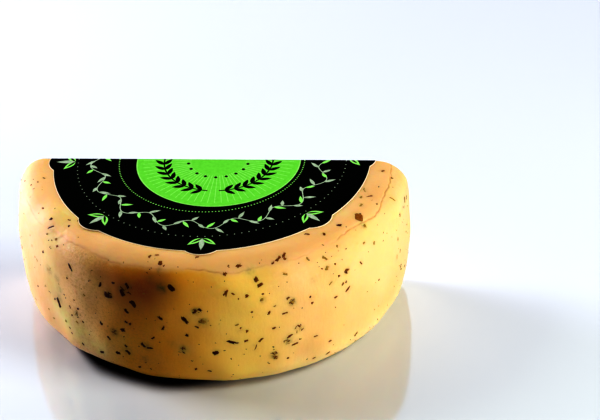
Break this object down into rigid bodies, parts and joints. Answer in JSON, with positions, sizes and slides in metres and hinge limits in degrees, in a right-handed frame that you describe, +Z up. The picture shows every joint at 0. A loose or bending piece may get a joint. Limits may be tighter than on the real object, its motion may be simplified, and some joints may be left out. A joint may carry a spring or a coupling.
{
  "type": "half cheese wheel",
  "caption": "Cut half of a round semi-hard herb cheese: rounded waxy yellow rind, flat speckled cut face and a lobed paper label on its flat top.",
  "frame": {"origin": "on the ground, under the middle of the half's bounding box", "axes": "+Z up, +Y out of the cut face, the rounded rind faces -Y, +X along the cut"},
  "size_m": [0.2628, 0.1288, 0.0949],
  "materials": {
    "cheese": "satin waxy rind over a dull pale yellow paste",
    "label": "printed paper, satin"
  },
  "bodies": {
    "root": {"cheese": "cheese", "label": "label"}
  },
  "joints": []
}
